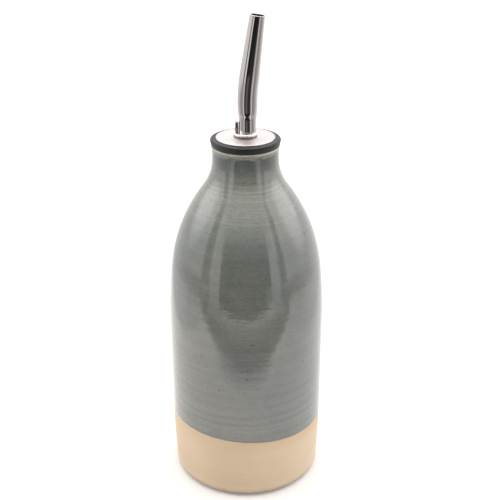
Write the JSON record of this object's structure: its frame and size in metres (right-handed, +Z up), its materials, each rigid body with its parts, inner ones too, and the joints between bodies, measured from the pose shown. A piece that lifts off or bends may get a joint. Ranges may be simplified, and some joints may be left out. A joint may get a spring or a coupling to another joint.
{
  "type": "ceramic oil bottle",
  "caption": "Thrown stoneware oil bottle, glazed over a bare clay foot, with a ribbed rubber stopper and a leaning steel pouring spout with its breather tube.",
  "frame": {"origin": "middle of the foot, on the surface that the bottle stands on", "axes": "+Z up the bottle's axis, +X the way the spout leans, -Y the side that the picture shows"},
  "size_m": [0.0792, 0.0792, 0.2414],
  "materials": {
    "glaze": "gloss",
    "rubber": "satin",
    "steel": "polished"
  },
  "bodies": {
    "bottle": {"bottle": "glaze"},
    "stopper": {"stopper": "rubber"},
    "pourer": {"cap_disc": "steel", "stem": "steel", "spout": "steel", "breather_tube": "steel"}
  },
  "joints": [
    {"name": "pourer_lift", "type": "slide", "parent": "bottle", "child": "stopper", "axis": [0, 0, 1], "range_m": [0, 0.075]},
    {"name": "spout_turn", "type": "hinge", "parent": "stopper", "child": "pourer", "pos_m": [0, 0, 0.184], "axis": [0, 0, 1], "continuous": true}
  ]
}
